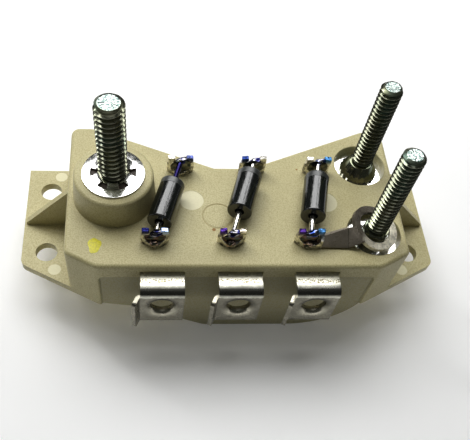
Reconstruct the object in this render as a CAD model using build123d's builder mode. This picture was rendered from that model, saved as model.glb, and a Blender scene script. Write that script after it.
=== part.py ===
"""Alternator diode trio: three axial diodes on a moulded terminal block with three studs.

Millimetres, +Z up. The origin is the middle of the four flange holes, on the underside of the
flanges, which is the plane the block is bolted down on. The phase terminals face -Y, the rear
notch faces +Y, and the large output stud stands on the -X side.
"""
import os
from math import atan2, cos, degrees, radians, sin, tan

from build123d import *

os.makedirs("parts", exist_ok=True)

# Housing block, seen from above
block_front = 22.5
block_back = 17.5
front_corner_run = 7.0
front_sweep = 28.0
wing_width = 5.2
notch_depth = 12.1
notch_floor_width = 8.4
deck_height = 16.0
deck_edge_radius = 0.9
wing_corner_radius = 2.0
front_corner_radius = 3.0
side_corner_radius = 2.0

# Mounting flanges, their holes and their gussets
flange_reach = 11.8
flange_thickness = 2.0
flange_back_step = 1.4
flange_corner_radius = 2.2
hole_inset = 5.8
hole_spacing_y = 18.4
hole_radius = 2.6
gusset_thickness = 1.4
gusset_front = 1.1
gusset_toe_height = 0.8
gusset_toe_inset = 0.6
gusset_top_drop = 1.8

# Lower body under the deck, whose front face continues the recessed front panel
foot_depth_below = 11.0
foot_left_toe = -6.0
foot_right_toe = 15.0
foot_left_shoulder = -24.0
foot_left_shoulder_drop = 1.4
foot_back = 3.4
foot_toe_radius = 3.0
panel_recess = 0.5
panel_side_rim = 0.2
panel_top_band = 4.0
panel_corner_radius = 1.5
panel_wall_draft = 45.0

# Row of three phase terminals, which sets the places across the block
phase_count = 3
phase_pitch = 17.0
phase_row_x = 0.2

# Output stud, its boss and its push nut
output_stud_from_row = 10.5
output_stud_from_front = 19.5
output_stud_radius = 3.175
output_stud_top = 43.0
output_shoulder_radius = 3.4
output_head_radius = 5.4
output_head_thickness = 2.6
boss_height = 6.9
boss_radius = 9.3
boss_draft = 5.0
boss_edge_radius = 0.7
push_nut_radius = 6.9
push_nut_thickness = 0.5
push_nut_bore_clearance = 0.05
push_nut_teeth = 6
push_nut_notch_inner_width = 1.7
push_nut_notch_outer_width = 2.9
push_nut_notch_reach = 2.1

# The two small studs, their recesses and the plates at the recess floors
small_stud_from_row = 13.5
rear_stud_from_back = 11.1
front_stud_from_front = 9.2
small_stud_radius = 2.413
rear_stud_top = 39.6
front_stud_top = 40.8
small_head_radius = 4.2
small_head_thickness = 2.4
small_head_bottom = 4.0
stud_chamfer = 0.6
recess_radius = 6.0
recess_depth = 2.0
recess_rim_radius = 0.25
recess_land = 0.4
seat_plate_thickness = 0.8
cone_base_radius = 4.4
cone_top_radius = 2.7
cone_height = 3.6
cone_rim_height = 0.8
cone_serrations = 20
cone_serration_depth = 0.3
front_collar_radius = 2.9
front_collar_height = 4.0

# Sheet conductors
sheet = 0.9
terminal_width = 9.6
terminal_top_drop = 2.8
terminal_reach = 5.0
terminal_length = 11.7
terminal_bend_radius = 1.7
terminal_hole_radius = 2.45
terminal_hole_drop = 8.7
terminal_burr_wall = 0.6
terminal_burr_height = 0.8
terminal_tab_reach = 2.5
terminal_tab_flare = 25.0
terminal_tab_top_drop = 4.6
tab_bend_radius = 0.65
terminal_root = 2.0
slot_clearance = 0.1
slot_headroom = 0.9
slot_depth = 0.5
run_width = 3.2
run_gap = 0.4
output_bar_drop = 4.2
output_bar_width = 3.0
output_eye_wall = 2.4

# Forks that hold the diode leads, placed from their own phase terminal
fork_width = 5.6
fork_height = 5.0
fork_bow = 1.3
fork_notch_width = 2.8
fork_notch_floor = 1.2
fork_notch_waist = 2.4
rear_fork_offset = (4.5, 4.25, 2.3)
rear_fork_setback = 1.6
front_fork_offset = (-1.6, -2.0, -2.05)
front_fork_from_front = 6.05

# Diodes and their leads, each diode shifted forwards from the middle of its two forks
diode_radius = 2.75
diode_length = 11.2
diode_edge_radius = 0.35
diode_axis_height = 3.4
diode_shift = (1.73, -1.3, -0.26)
lead_radius = 0.65
nugget_radius = 0.8

# Strap from the front fork of diode 3 to the ring round the front stud. Each station gives its
# place from the fork's or the ring's middle, the way the strap runs and the way its width points.
strap_width = 4.4
strap_bottom_gap = 0.4
strap_fork_stations = (
    ((1.0, -0.9, 0.0), (1.0, -0.05, 0.0), (0.0, 0.0, 1.0)),
    ((3.6, -1.05, 0.0), (1.0, 0.05, 0.0), (0.0, 0.02, 1.0)),
)
strap_ring_stations = (
    ((-6.75, -3.65, 0.6), (1.0, 0.45, 0.05), (-0.22, 0.3, 1.0)),
    ((-4.55, -2.15, 1.1), (1.0, 0.75, 0.1), (-0.55, 0.55, 0.85)),
)
ring_radius = 5.7
ring_hole_clearance = 1.1
ring_height = 2.0
ring_lean_forward = 15.0
ring_lean_right = 25.0

# Moulding marks on the deck and the flanges
deck_pin_radius = 2.75
flange_pin_radius = 1.5
pin_mark_depth = 0.06
deck_pin_marks = ((-9.95, -4.5), (20.8, -4.8))
flange_pin_inset = 8.0
flange_pin_y = 14.1
ring_mark_x = -4.2
ring_mark_y = -8.9
ring_mark_radius = 3.4
ring_mark_width = 0.3

# Places worked out from the sizes above
phase_x = [phase_row_x + phase_pitch * (i - (phase_count - 1) / 2) for i in range(phase_count)]
output_stud_x = phase_x[0] - output_stud_from_row
output_stud_y = output_stud_from_front - block_front
small_stud_x = phase_x[-1] + small_stud_from_row
rear_stud_y = block_back - rear_stud_from_back
front_stud_y = front_stud_from_front - block_front
half_block = small_stud_x + recess_radius + recess_land + deck_edge_radius
half_front = half_block - front_corner_run
half_overall = half_block + flange_reach
half_mouth = half_block - wing_width
hole_spacing_x = 2 * (half_overall - hole_inset)
flange_pin_x = half_overall - flange_pin_inset
flange_back = block_back - flange_back_step
sweep_slope = tan(radians(front_sweep))
notch_floor_y = block_back - notch_depth
boss_top = deck_height + boss_height
push_nut_top = boss_top + push_nut_thickness
seat_top = deck_height - recess_depth
terminal_top = deck_height - terminal_top_drop
terminal_bottom = terminal_top - terminal_length
output_bar_top = terminal_top - output_bar_drop + sheet
rear_fork_x = [x + offset for x, offset in zip(phase_x, rear_fork_offset)]
rear_fork_y = notch_floor_y - rear_fork_setback
front_fork_x = [x + offset for x, offset in zip(phase_x, front_fork_offset)]
front_fork_y = front_fork_from_front - block_front
lead_height = deck_height + diode_axis_height


def sweep_y(x):
    """Front edge of block and flange at a distance x from the middle."""
    return -block_front + max(0.0, x - half_front) * sweep_slope


def fork_outline(x, y):
    """Plan section of a fork: a sheet bowed towards the front."""
    left = x - fork_width / 2
    right = x + fork_width / 2
    ends_y = y + fork_bow / 2
    apex_y = y - fork_bow / 2
    with BuildSketch() as outline:
        with BuildLine():
            outer = ThreePointArc((left, ends_y - sheet / 2), (x, apex_y - sheet / 2), (right, ends_y - sheet / 2))
            inner = ThreePointArc((left, ends_y + sheet / 2), (x, apex_y + sheet / 2), (right, ends_y + sheet / 2))
            Line(outer @ 0, inner @ 0)
            Line(outer @ 1, inner @ 1)
        make_face()
    return outline.sketch


def fork_notch(x):
    """Front view of the gap between a fork's prongs, in X and Z."""
    top = deck_height + fork_height + sheet
    waist = deck_height + fork_notch_waist
    half = fork_notch_width / 2
    with BuildSketch() as notch:
        with BuildLine():
            Polyline(
                (x - half, top),
                (x - half, waist),
                (x, deck_height + fork_notch_floor),
                (x + half, waist),
                (x + half, top),
                close=True,
            )
        make_face()
    return notch.sketch


# Phase bars: screw terminal in front, run through the moulding, rear fork on the deck
phase_bars = []
for number, (x, fork_x, neighbour_x) in enumerate(zip(phase_x, rear_fork_x, front_fork_x), start=1):
    run_left = neighbour_x + fork_width / 2 + run_gap
    face_y = -block_front - terminal_reach
    with BuildPart() as phase_bar:
        with BuildSketch(Plane.YZ.offset(x)) as terminal_section:
            with BuildLine():
                Polyline(
                    (-block_front + terminal_root, terminal_top),
                    (face_y, terminal_top),
                    (face_y, terminal_bottom),
                    (face_y + sheet, terminal_bottom),
                    (face_y + sheet, terminal_top - sheet),
                    (-block_front + terminal_root, terminal_top - sheet),
                    close=True,
                )
            make_face()
            fillet(terminal_section.vertices().group_by(Axis.X)[0].sort_by(Axis.Y)[-1], terminal_bend_radius)
            inner_corner = terminal_section.vertices().sort_by_distance((face_y + sheet, terminal_top - sheet))[0]
            fillet(inner_corner, terminal_bend_radius - sheet)
        extrude(amount=terminal_width / 2, both=True)
        tab_root = Vector(x - (terminal_width + sheet) / 2, face_y + sheet / 2)
        tab_way = Vector(-sin(radians(terminal_tab_flare)), -cos(radians(terminal_tab_flare)))
        with BuildSketch(Plane.XY.offset(terminal_bottom)):
            with BuildLine():
                FilletPolyline(
                    (x, face_y + sheet / 2),
                    tab_root,
                    tab_root + tab_way * terminal_tab_reach,
                    radius=tab_bend_radius,
                )
            trace(line_width=sheet)
        extrude(amount=deck_height - terminal_tab_top_drop - terminal_bottom)
        with BuildSketch(Plane.XZ.offset(-face_y - sheet)):
            with Locations((x, deck_height - terminal_hole_drop)):
                Circle(terminal_hole_radius + terminal_burr_wall)
        extrude(amount=-terminal_burr_height)
        with BuildSketch(Plane.XZ.offset(-face_y)):
            with Locations((x, deck_height - terminal_hole_drop)):
                Circle(terminal_hole_radius)
        extrude(amount=-(sheet + terminal_burr_height), mode=Mode.SUBTRACT)
        run_length = block_front - terminal_root + rear_fork_y + sheet / 2
        with BuildSketch(Plane.XY.offset(terminal_top - sheet)):
            with Locations((run_left, -block_front + terminal_root)):
                Rectangle(run_width, run_length, align=(Align.MIN, Align.MIN))
        extrude(amount=sheet)
        with BuildSketch(Plane.XY.offset(terminal_top - sheet)):
            add(fork_outline(fork_x, rear_fork_y))
        extrude(amount=deck_height + fork_height - terminal_top + sheet)
        with BuildSketch(Plane.XZ.offset(-rear_fork_y)):
            add(fork_notch(fork_x))
        extrude(amount=fork_bow + sheet, both=True, mode=Mode.SUBTRACT)
    phase_bar.part.label = f"phase_bar_{number}"
    phase_bars.append(phase_bar)

# Output bar: strip across the moulding below the phase bars, two front forks, eye at the stud
with BuildPart() as output_bar:
    bar_right = front_fork_x[-1] + fork_width / 2
    eye_radius = output_shoulder_radius + output_eye_wall
    with BuildSketch(Plane.XY.offset(output_bar_top - sheet)):
        with Locations((output_stud_x, front_fork_y)):
            Rectangle(
                bar_right - output_stud_x + output_bar_width / 2,
                output_bar_width,
                align=(Align.MIN, Align.CENTER),
            )
        with Locations((output_stud_x, front_fork_y - output_bar_width / 2)):
            Rectangle(
                output_bar_width,
                output_stud_y - front_fork_y + output_bar_width / 2,
                align=(Align.CENTER, Align.MIN),
            )
        with Locations((output_stud_x, output_stud_y)):
            Circle(eye_radius)
    extrude(amount=sheet)
    for x in front_fork_x[:-1]:
        with BuildSketch(Plane.XY.offset(output_bar_top - sheet)):
            add(fork_outline(x, front_fork_y))
        extrude(amount=deck_height + fork_height - output_bar_top + sheet)
        with BuildSketch(Plane.XZ.offset(-front_fork_y)):
            add(fork_notch(x))
        extrude(amount=fork_bow + sheet, both=True, mode=Mode.SUBTRACT)
    with BuildSketch(Plane.XY.offset(output_bar_top - sheet)):
        with Locations((output_stud_x, output_stud_y)):
            Circle(output_shoulder_radius)
    extrude(amount=sheet, mode=Mode.SUBTRACT)
output_bar.part.label = "output_bar"

# Output link: front fork of diode 3, strap twisting out of its right wing, ring at the front stud
ring_normal = Vector(
    sin(radians(ring_lean_right)),
    -sin(radians(ring_lean_forward)),
    cos(radians(ring_lean_right)) * cos(radians(ring_lean_forward)),
)
ring_plane = Plane(origin=(small_stud_x, front_stud_y, deck_height + ring_height), z_dir=ring_normal)
ring_hole_radius = front_collar_radius + ring_hole_clearance
link_x = front_fork_x[-1]
strap_start = Vector(link_x, front_fork_y, deck_height + strap_bottom_gap + strap_width / 2)
strap_stations = [(strap_start + Vector(*place), *ways) for place, *ways in strap_fork_stations]
strap_stations += [(ring_plane.origin + Vector(*place), *ways) for place, *ways in strap_ring_stations]
with BuildPart() as output_link:
    with BuildSketch(Plane.XY.offset(output_bar_top)):
        add(fork_outline(link_x, front_fork_y))
    extrude(amount=deck_height + fork_height - output_bar_top)
    for place, along, across in strap_stations:
        forward = Vector(*along).normalized()
        upward = Vector(*across)
        upward = upward - forward * upward.dot(forward)
        with BuildSketch(Plane(origin=place, x_dir=upward, z_dir=forward)):
            Rectangle(strap_width, sheet)
    loft()
    with BuildSketch(ring_plane):
        Circle(ring_radius)
    extrude(amount=sheet / 2, both=True)
    with BuildSketch(ring_plane):
        Circle(ring_hole_radius)
    extrude(amount=sheet * 2, both=True, mode=Mode.SUBTRACT)
    with BuildSketch(Plane.XZ.offset(-front_fork_y)):
        add(fork_notch(link_x))
    extrude(amount=fork_bow + sheet, both=True, mode=Mode.SUBTRACT)
output_link.part.label = "output_link"

# Output stud: round head in the moulding under the bar's eye, shoulder up through boss and push nut
output_head_top = output_bar_top - sheet
with BuildPart() as output_stud:
    with BuildSketch(Plane.XY.offset(output_head_top - output_head_thickness)):
        with Locations((output_stud_x, output_stud_y)):
            Circle(output_head_radius)
    extrude(amount=output_head_thickness)
    with BuildSketch(Plane.XY.offset(output_head_top)):
        with Locations((output_stud_x, output_stud_y)):
            Circle(output_shoulder_radius)
    extrude(amount=push_nut_top - output_head_top)
    with BuildSketch(Plane.XY.offset(push_nut_top)):
        with Locations((output_stud_x, output_stud_y)):
            Circle(output_stud_radius)
    extrude(amount=output_stud_top - push_nut_top)
    chamfer(output_stud.edges().group_by(Axis.Z)[-1], stud_chamfer)
output_stud.part.label = "output_stud"

# Push nut: flat plated disc on the boss, with teeth round the stud's shoulder
bore = output_shoulder_radius + push_nut_bore_clearance
notch_length = bore / 2 + push_nut_notch_reach
notch_flare = (push_nut_notch_outer_width - push_nut_notch_inner_width) / 2
with BuildPart() as push_nut:
    with BuildSketch(Plane.XY.offset(boss_top)):
        with Locations((output_stud_x, output_stud_y)):
            Circle(push_nut_radius)
            Circle(bore, mode=Mode.SUBTRACT)
            with PolarLocations(bore / 2 + notch_length / 2, push_nut_teeth):
                Trapezoid(
                    push_nut_notch_outer_width,
                    notch_length,
                    degrees(atan2(push_nut_notch_reach, notch_flare)),
                    rotation=90,
                    mode=Mode.SUBTRACT,
                )
    extrude(amount=push_nut_thickness)
push_nut.part.label = "push_nut"


def small_stud(y, top):
    """Shank and embedded head of a small stud."""
    with BuildPart() as stud:
        with BuildSketch(Plane.XY.offset(small_head_bottom)):
            with Locations((small_stud_x, y)):
                Circle(small_head_radius)
        extrude(amount=small_head_thickness)
        with BuildSketch(Plane.XY.offset(small_head_bottom)):
            with Locations((small_stud_x, y)):
                Circle(small_stud_radius)
        extrude(amount=top - small_head_bottom)
        chamfer(stud.edges().group_by(Axis.Z)[-1], stud_chamfer)
    return stud.part


# Rear stud, with a serrated cone collar standing on the seat plate
rear_blank = small_stud(rear_stud_y, rear_stud_top)
with BuildPart() as rear_stud:
    add(rear_blank)
    with BuildSketch(Plane.XZ.offset(-rear_stud_y)):
        with BuildLine():
            Polyline(
                (small_stud_x, seat_top),
                (small_stud_x + cone_base_radius, seat_top),
                (small_stud_x + cone_base_radius, seat_top + cone_rim_height),
                (small_stud_x + cone_top_radius, seat_top + cone_height),
                (small_stud_x, seat_top + cone_height),
                close=True,
            )
        make_face()
    revolve(axis=Axis((small_stud_x, rear_stud_y, 0), (0, 0, 1)))
    with BuildSketch(Plane.XY.offset(seat_top)):
        with Locations((small_stud_x, rear_stud_y)):
            with PolarLocations(cone_base_radius, cone_serrations):
                Rectangle(2 * cone_serration_depth, cone_serration_depth)
    extrude(amount=cone_rim_height + cone_serration_depth, mode=Mode.SUBTRACT)
rear_stud.part.label = "rear_stud"

# Front stud, with a smooth collar
front_blank = small_stud(front_stud_y, front_stud_top)
with BuildPart() as front_stud:
    add(front_blank)
    with BuildSketch(Plane.XY.offset(seat_top)):
        with Locations((small_stud_x, front_stud_y)):
            Circle(front_collar_radius)
    extrude(amount=front_collar_height)
front_stud.part.label = "front_stud"

# Seat plates at the recess floors
seat_plates = []
for name, y in (("rear_seat_plate", rear_stud_y), ("front_seat_plate", front_stud_y)):
    with BuildPart() as seat_plate:
        with BuildSketch(Plane.XY.offset(seat_top - seat_plate_thickness)):
            with Locations((small_stud_x, y)):
                Circle(recess_radius)
                Circle(small_stud_radius, mode=Mode.SUBTRACT)
        extrude(amount=seat_plate_thickness)
    seat_plate.part.label = name
    seat_plates.append(seat_plate)

# Diodes, each on the line from its rear fork to its front fork, with a lead at each end
diode_pieces = []
for number in range(1, phase_count + 1):
    rear = Vector(rear_fork_x[number - 1], rear_fork_y, lead_height)
    front = Vector(front_fork_x[number - 1], front_fork_y, lead_height)
    heading = (front - rear).normalized()
    body_start = (rear + front) / 2 + heading * (diode_shift[number - 1] - diode_length / 2)
    body_end = body_start + heading * diode_length
    with BuildPart() as diode:
        with BuildSketch(Plane(origin=body_start, x_dir=(0, 0, 1), z_dir=heading)):
            Circle(diode_radius)
        extrude(amount=diode_length)
        fillet(diode.edges().filter_by(GeomType.CIRCLE), diode_edge_radius)
    diode.part.label = f"diode_{number}"
    diode_pieces.append(diode)
    for side, root, tip in (("rear", body_start, rear), ("front", body_end, front)):
        with BuildPart() as lead:
            with BuildSketch(Plane(origin=root, x_dir=(0, 0, 1), z_dir=(tip - root).normalized())):
                Circle(lead_radius)
            extrude(amount=(tip - root).length)
            with BuildSketch(Plane.YZ.offset(tip.X)):
                with Locations((tip.Y, tip.Z)):
                    Circle(nugget_radius)
            extrude(amount=fork_notch_width / 2, both=True)
        lead.part.label = f"diode_{number}_{side}_lead"
        diode_pieces.append(lead)

# Housing, moulded round the conductors and the studs
with BuildPart() as housing:
    with BuildSketch() as block_outline:
        with BuildLine():
            Polyline(
                (0, -block_front),
                (half_front, -block_front),
                (half_block, sweep_y(half_block)),
                (half_block, block_back),
                (half_mouth, block_back),
                (notch_floor_width / 2, notch_floor_y),
                (0, notch_floor_y),
            )
            mirror(about=Plane.YZ)
        make_face()
        fillet(block_outline.vertices().group_by(Axis.Y)[-1], wing_corner_radius)
        fillet(block_outline.vertices().group_by(Axis.Y)[0], front_corner_radius)
        fillet(block_outline.vertices().group_by(Axis.X)[-1].sort_by(Axis.Y)[0], side_corner_radius)
        fillet(block_outline.vertices().group_by(Axis.X)[0].sort_by(Axis.Y)[0], side_corner_radius)
    extrude(amount=deck_height)
    fillet(housing.faces().sort_by(Axis.Z)[-1].edges(), deck_edge_radius)
    with BuildSketch() as flange_outline:
        with BuildLine():
            Polyline(
                (0, -block_front),
                (half_front, -block_front),
                (half_overall, sweep_y(half_overall)),
                (half_overall, flange_back),
                (half_mouth, flange_back),
                (half_mouth, notch_floor_y - wing_corner_radius),
                (0, notch_floor_y - wing_corner_radius),
            )
            mirror(about=Plane.YZ)
        make_face()
        fillet(flange_outline.vertices().group_by(Axis.Y)[0], front_corner_radius)
        fillet(flange_outline.vertices().group_by(Axis.X)[-1].sort_by(Axis.Y)[0], flange_corner_radius)
        fillet(flange_outline.vertices().group_by(Axis.X)[0].sort_by(Axis.Y)[0], flange_corner_radius)
    extrude(amount=flange_thickness)
    for side in (-1, 1):
        with BuildSketch(Plane.XZ.offset(gusset_front)):
            with BuildLine():
                Polyline(
                    (side * (half_block - deck_edge_radius), 0),
                    (side * (half_overall - gusset_toe_inset), 0),
                    (side * (half_overall - gusset_toe_inset), flange_thickness + gusset_toe_height),
                    (side * half_block, deck_height - gusset_top_drop),
                    (side * (half_block - deck_edge_radius), deck_height - gusset_top_drop),
                    close=True,
                )
            make_face()
        extrude(amount=-gusset_thickness)
    with BuildSketch(Plane.XZ.offset(block_front - panel_recess)) as foot_face:
        with BuildLine():
            Polyline(
                (half_front - panel_side_rim, deck_height / 2),
                (-half_front + panel_side_rim, deck_height / 2),
                (-half_front + panel_side_rim, 0),
                (foot_left_shoulder, -foot_left_shoulder_drop),
                (foot_left_toe, -foot_depth_below),
                (foot_right_toe, -foot_depth_below),
            )
            TangentArc((foot_right_toe, -foot_depth_below), (half_front - panel_side_rim, 0), tangent=(1, 0))
            Line((half_front - panel_side_rim, 0), (half_front - panel_side_rim, deck_height / 2))
        make_face()
        fillet(foot_face.vertices().group_by(Axis.Y)[0].sort_by(Axis.X)[0], foot_toe_radius)
    extrude(amount=-(block_front - panel_recess + foot_back))
    with BuildSketch(Plane.XY.offset(deck_height)):
        with Locations((output_stud_x, output_stud_y)):
            Circle(boss_radius)
    extrude(amount=boss_height, taper=boss_draft)
    fillet(housing.faces().sort_by(Axis.Z)[-1].edges(), boss_edge_radius)
    with BuildSketch(Plane.XZ.offset(block_front)) as panel:
        with Locations((0, deck_height - panel_top_band)):
            Rectangle(
                2 * (half_front - panel_side_rim),
                deck_height - panel_top_band + foot_depth_below,
                align=(Align.CENTER, Align.MAX),
            )
        fillet(panel.vertices().group_by(Axis.Y)[-1], panel_corner_radius)
    extrude(amount=-panel_recess, taper=panel_wall_draft, mode=Mode.SUBTRACT)
    with BuildSketch(Plane.XZ.offset(block_front)):
        for x in phase_x:
            with Locations((x, terminal_top - sheet)):
                Rectangle(
                    terminal_width + 2 * slot_clearance, sheet + slot_headroom, align=(Align.CENTER, Align.MIN)
                )
    extrude(amount=-(panel_recess + slot_depth), mode=Mode.SUBTRACT)
    with BuildSketch():
        with GridLocations(hole_spacing_x, hole_spacing_y, 2, 2):
            Circle(hole_radius)
    extrude(amount=flange_thickness, mode=Mode.SUBTRACT)
    for y in (rear_stud_y, front_stud_y):
        with BuildSketch(Plane.XY.offset(deck_height)):
            with Locations((small_stud_x, y)):
                Circle(recess_radius)
        extrude(amount=-recess_depth, mode=Mode.SUBTRACT)
        fillet(housing.edges(Select.LAST).group_by(Axis.Z)[-1], recess_rim_radius)
    with BuildSketch(Plane.XY.offset(deck_height)):
        with Locations(*deck_pin_marks):
            Circle(deck_pin_radius)
        with Locations((ring_mark_x, ring_mark_y)):
            Circle(ring_mark_radius)
            Circle(ring_mark_radius - ring_mark_width, mode=Mode.SUBTRACT)
    extrude(amount=-pin_mark_depth, mode=Mode.SUBTRACT)
    with BuildSketch(Plane.XY.offset(flange_thickness)):
        with GridLocations(2 * flange_pin_x, 2 * flange_pin_y, 2, 2):
            Circle(flange_pin_radius)
    extrude(amount=-pin_mark_depth, mode=Mode.SUBTRACT)
    for insert in (*phase_bars, output_bar, output_link, output_stud, rear_stud, front_stud, *seat_plates):
        add(insert.part, mode=Mode.SUBTRACT)
housing.part.label = "housing"

pieces = [housing, *phase_bars, output_bar, output_link, output_stud, push_nut]
pieces += [rear_stud, front_stud, *seat_plates, *diode_pieces]
for piece in pieces:
    export_step(piece.part, f"parts/{piece.part.label}.step")
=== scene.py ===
"""Alternator diode trio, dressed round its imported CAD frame.

Lengths in the sections are millimetres in the frame's own axes: +X to the right, +Y to the back,
+Z up, with the origin in the middle of the four flange holes. Each mesh is scaled to metres when
it is built.
"""
import math

import bmesh
import bpy
import numpy as np
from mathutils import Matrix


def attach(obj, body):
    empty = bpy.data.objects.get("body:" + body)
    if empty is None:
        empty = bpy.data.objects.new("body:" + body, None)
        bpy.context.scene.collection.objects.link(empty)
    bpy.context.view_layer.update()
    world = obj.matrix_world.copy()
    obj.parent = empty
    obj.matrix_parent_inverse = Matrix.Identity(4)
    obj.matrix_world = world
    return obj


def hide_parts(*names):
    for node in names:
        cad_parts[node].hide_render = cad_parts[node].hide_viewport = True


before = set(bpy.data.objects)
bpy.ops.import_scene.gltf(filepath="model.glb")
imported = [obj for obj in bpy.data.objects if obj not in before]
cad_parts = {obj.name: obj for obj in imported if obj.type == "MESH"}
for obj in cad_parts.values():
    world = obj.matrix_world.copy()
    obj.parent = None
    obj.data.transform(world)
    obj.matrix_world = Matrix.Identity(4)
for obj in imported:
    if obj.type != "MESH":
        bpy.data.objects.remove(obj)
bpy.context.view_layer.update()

# Housing. One moulding of beige glass-filled polyester with softened edges, into which the studs and
# the sheet conductors are moulded. It has a faint cloudy flow, a fine grain, pale ejector marks, a
# darker brown ring groove and a few stains, and a near-black disc of painted shade under the push nut.
# Its front panel is duller, and greyer and darker: partly its own matte tone, partly painted shade.
DECK = 16.0
FLANGE_TOP = 2.0
CLOUD_SCALE = 110.0
GRAIN_SCALE = 3800.0
GRAIN_DEPTH = 0.022
HOUSING_PALE = (0.60, 0.555, 0.325, 1.0)
HOUSING_DEEP = (0.53, 0.485, 0.275, 1.0)
HOUSING_SPECK = (0.40, 0.345, 0.175, 1.0)
PANEL_TONE_AND_SHADE = (0.46, 0.435, 0.29, 1.0)
HOUSING_MARK = (0.80, 0.77, 0.56, 1.0)
HOUSING_GROOVE = (0.34, 0.27, 0.11, 1.0)
HOUSING_STAIN = (0.30, 0.16, 0.035, 1.0)
NUT_PAINTED_SHADE = (0.045, 0.03, 0.018, 1.0)
PANEL_CORNERS = ((-30.8, -22.25, -12.0), (30.8, -21.0, 11.9))
PANEL_ROUGHNESS = 0.62
DECK_MARKS = ((-9.95, -4.5, DECK), (20.8, -4.8, DECK))
DECK_MARK_RADIUS = 2.75
FLANGE_MARK = (41.8, 14.1, FLANGE_TOP)
FLANGE_MARK_RADIUS = 1.5
MARK_COVER = 0.75
RING_MARK = (-4.2, -8.9, DECK)
RING_MARK_RADII = (3.55, 3.25)
GROOVE_COVER = 0.6
STAINS_AND_SHADE = (
    ((-5.3, -12.7, DECK), 0.42, HOUSING_STAIN),
    ((15.3, 4.9, DECK), 0.22, HOUSING_STAIN),
    # Not a stain: a near-black disc of painted shade on the boss top under the push nut and its slots.
    ((-27.3, -3.0, 22.9), 5.3, NUT_PAINTED_SHADE),
)
DISC_BLUR = 0.08


def shader(name, **sockets):
    """A new material whose Principled shader has the given sockets set, with _ for a space."""
    material = bpy.data.materials.new(name)
    material.use_nodes = True
    surface = material.node_tree.nodes["Principled BSDF"]
    for socket, value in sockets.items():
        surface.inputs[socket.replace("_", " ")].default_value = value
    return material


def wire(material, kind, settings=None, **sockets):
    """A new node in the material, with its own settings and the values of its sockets.

    A socket is named with _ for a space, or as _ and its number. Its value is linked if it is
    another node's output.
    """
    tree = material.node_tree
    node = tree.nodes.new(kind)
    for name, value in (settings or {}).items():
        setattr(node, name, value)
    for socket, value in sockets.items():
        key = int(socket[1:]) if socket[1:].isdigit() else socket.replace("_", " ")
        if isinstance(value, bpy.types.NodeSocket):
            tree.links.new(value, node.inputs[key])
        else:
            node.inputs[key].default_value = value
    return node


def connect(material, **sockets):
    """Links node outputs to the Principled shader's sockets, with _ for a space."""
    surface = material.node_tree.nodes["Principled BSDF"]
    for socket, output in sockets.items():
        material.node_tree.links.new(output, surface.inputs[socket.replace("_", " ")])


def ramp(material, value, stops):
    """A colour ramp of (place, colour) stops read at a value, returned as its colour output."""
    node = wire(material, "ShaderNodeValToRGB", _0=value)
    elements = node.color_ramp.elements
    while len(elements) < len(stops):
        elements.new(0.5)
    for element, (place, colour) in zip(elements, stops):
        element.position = place
        element.color = colour
    return node.outputs[0]


def noise(material, scale, detail=3.0, roughness=0.55):
    """Fractal noise over the piece, scale in features per metre."""
    place = wire(material, "ShaderNodeTexCoord").outputs["Object"]
    return wire(
        material, "ShaderNodeTexNoise", Vector=place, Scale=scale, Detail=detail, Roughness=roughness
    ).outputs[0]


def relief(material, height, distance):
    """Bump from a height field, distance in millimetres for a height of one."""
    node = wire(material, "ShaderNodeBump", Height=height, Distance=distance / 1000)
    connect(material, Normal=node.outputs[0])


def grey(level):
    """A neutral colour."""
    return (level, level, level, 1.0)


def blend_colours(material, factor, one, other, mode="MIX"):
    """One colour turning into the other, or as mode says, as the factor goes from 0 to 1."""
    settings = {"data_type": "RGBA", "blend_type": mode}
    return wire(material, "ShaderNodeMix", settings, _0=factor, _6=one, _7=other).outputs[2]


def arithmetic(material, operation, one, other):
    """The result of a Math node on two values."""
    return wire(material, "ShaderNodeMath", {"operation": operation}, _0=one, _1=other).outputs[0]


def disc(material, centre, radius, mirrored=False):
    """1 within a radius of a point and 0 outside it; mirrored takes it in all four quarters."""
    place = wire(material, "ShaderNodeTexCoord").outputs["Object"]
    if mirrored:
        place = wire(material, "ShaderNodeVectorMath", {"operation": "ABSOLUTE"}, _0=place).outputs[0]
    middle = [value / 1000 for value in centre]
    span = wire(material, "ShaderNodeVectorMath", {"operation": "DISTANCE"}, _0=place, _1=middle)
    edge, blur = radius / 1000, DISC_BLUR / 1000
    away = span.outputs["Value"]
    return wire(material, "ShaderNodeMapRange", _0=away, _1=edge + blur, _2=edge - blur).outputs[0]


def block(material, low, high):
    """1 inside a box between two corners and 0 outside it."""
    place = wire(material, "ShaderNodeTexCoord").outputs["Object"]
    axes = wire(material, "ShaderNodeSeparateXYZ", _0=place).outputs
    inside = 1.0
    for value, least, most in zip(axes, low, high):
        for test, limit in (("GREATER_THAN", least), ("LESS_THAN", most)):
            passed = arithmetic(material, test, value, limit / 1000)
            inside = arithmetic(material, "MULTIPLY", inside, passed)
    return inside


moulding = shader("moulded polyester", Specular_IOR_Level=0.42)
cloud = noise(moulding, CLOUD_SCALE, detail=5.0)
grain = noise(moulding, GRAIN_SCALE, detail=2.0)
colour = ramp(moulding, cloud, [(0.30, HOUSING_DEEP), (0.68, HOUSING_PALE)])
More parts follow.
